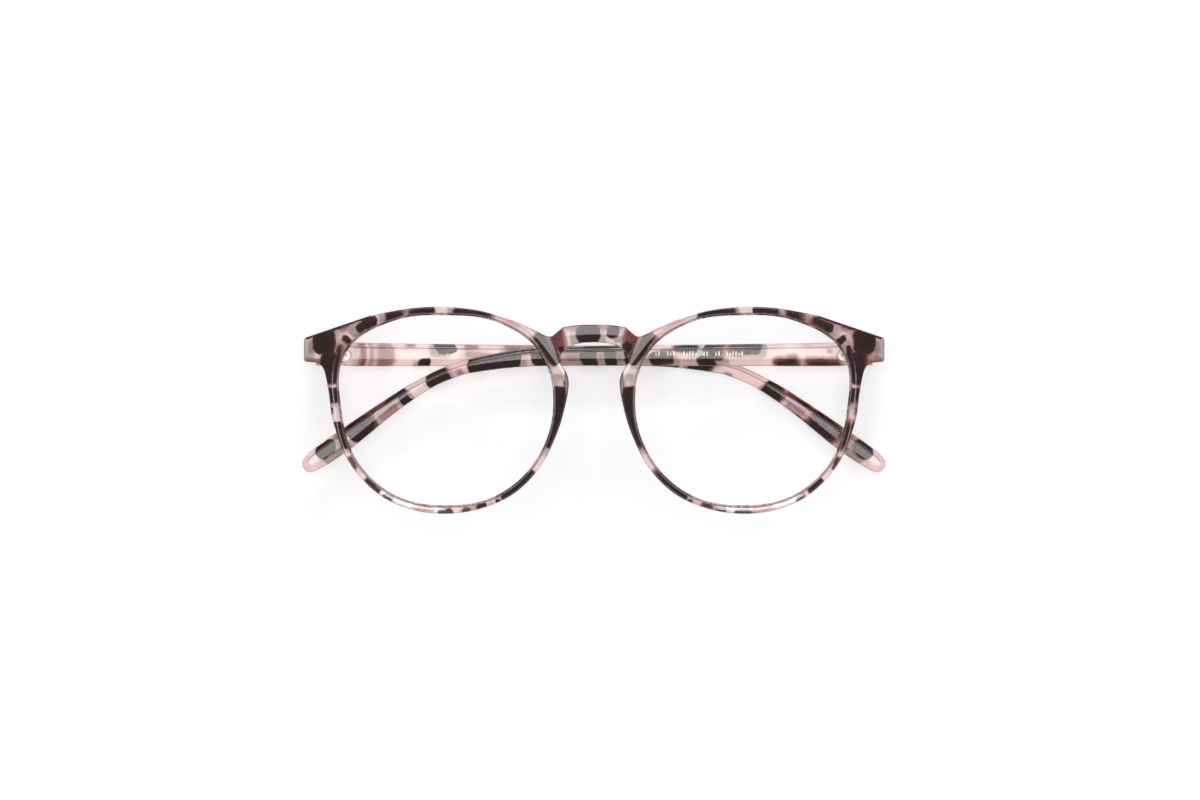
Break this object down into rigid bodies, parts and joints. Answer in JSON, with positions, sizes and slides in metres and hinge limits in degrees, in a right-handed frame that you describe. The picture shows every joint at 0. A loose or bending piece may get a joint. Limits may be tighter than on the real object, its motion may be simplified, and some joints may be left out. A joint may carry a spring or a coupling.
{
  "type": "blue light glasses",
  "caption": "Folding plastic spectacles with round panto rims, a keyhole bridge, moulded nose pads, clear plano lenses and slim temples on metal screw hinges.",
  "frame": {"origin": "on the surface that the folded glasses lie on, under the middle of their bounding box", "axes": "+X along the brow towards the wearer's left hinge, +Y up the face towards the brow, +Z out of the front of the face, away from the surface. Left and right are the wearer's."},
  "size_m": [0.1364, 0.0481, 0.0217],
  "materials": {
    "tortoise_plastic": "glossy, translucent pale pink with dark brown tortoiseshell patches",
    "clear_lens": "clear plano lens with a faint violet-blue anti-reflection coating",
    "hinge_metal": "satin nickel silver",
    "screw_steel": "satin steel"
  },
  "bodies": {
    "front": {"front_frame": "tortoise_plastic", "left_lens": "clear_lens", "right_lens": "clear_lens", "left_front_hinge_leaf": "hinge_metal", "right_front_hinge_leaf": "hinge_metal", "left_hinge_screw": "screw_steel", "right_hinge_screw": "screw_steel"},
    "left_arm": {"left_temple": "tortoise_plastic", "left_temple_hinge_leaf": "hinge_metal"},
    "right_arm": {"right_temple": "tortoise_plastic", "right_temple_hinge_leaf": "hinge_metal"}
  },
  "joints": [
    {"name": "left_hinge", "type": "hinge", "parent": "front", "child": "left_arm", "pos_m": [0.0643, 0.0137, 0.00607], "axis": [0, -1, 0], "range_deg": [0, 94.2]},
    {"name": "right_hinge", "type": "hinge", "parent": "front", "child": "right_arm", "pos_m": [-0.0643, 0.0137, 0.00607], "axis": [0, 1, 0], "range_deg": [0, 91.8]}
  ]
}
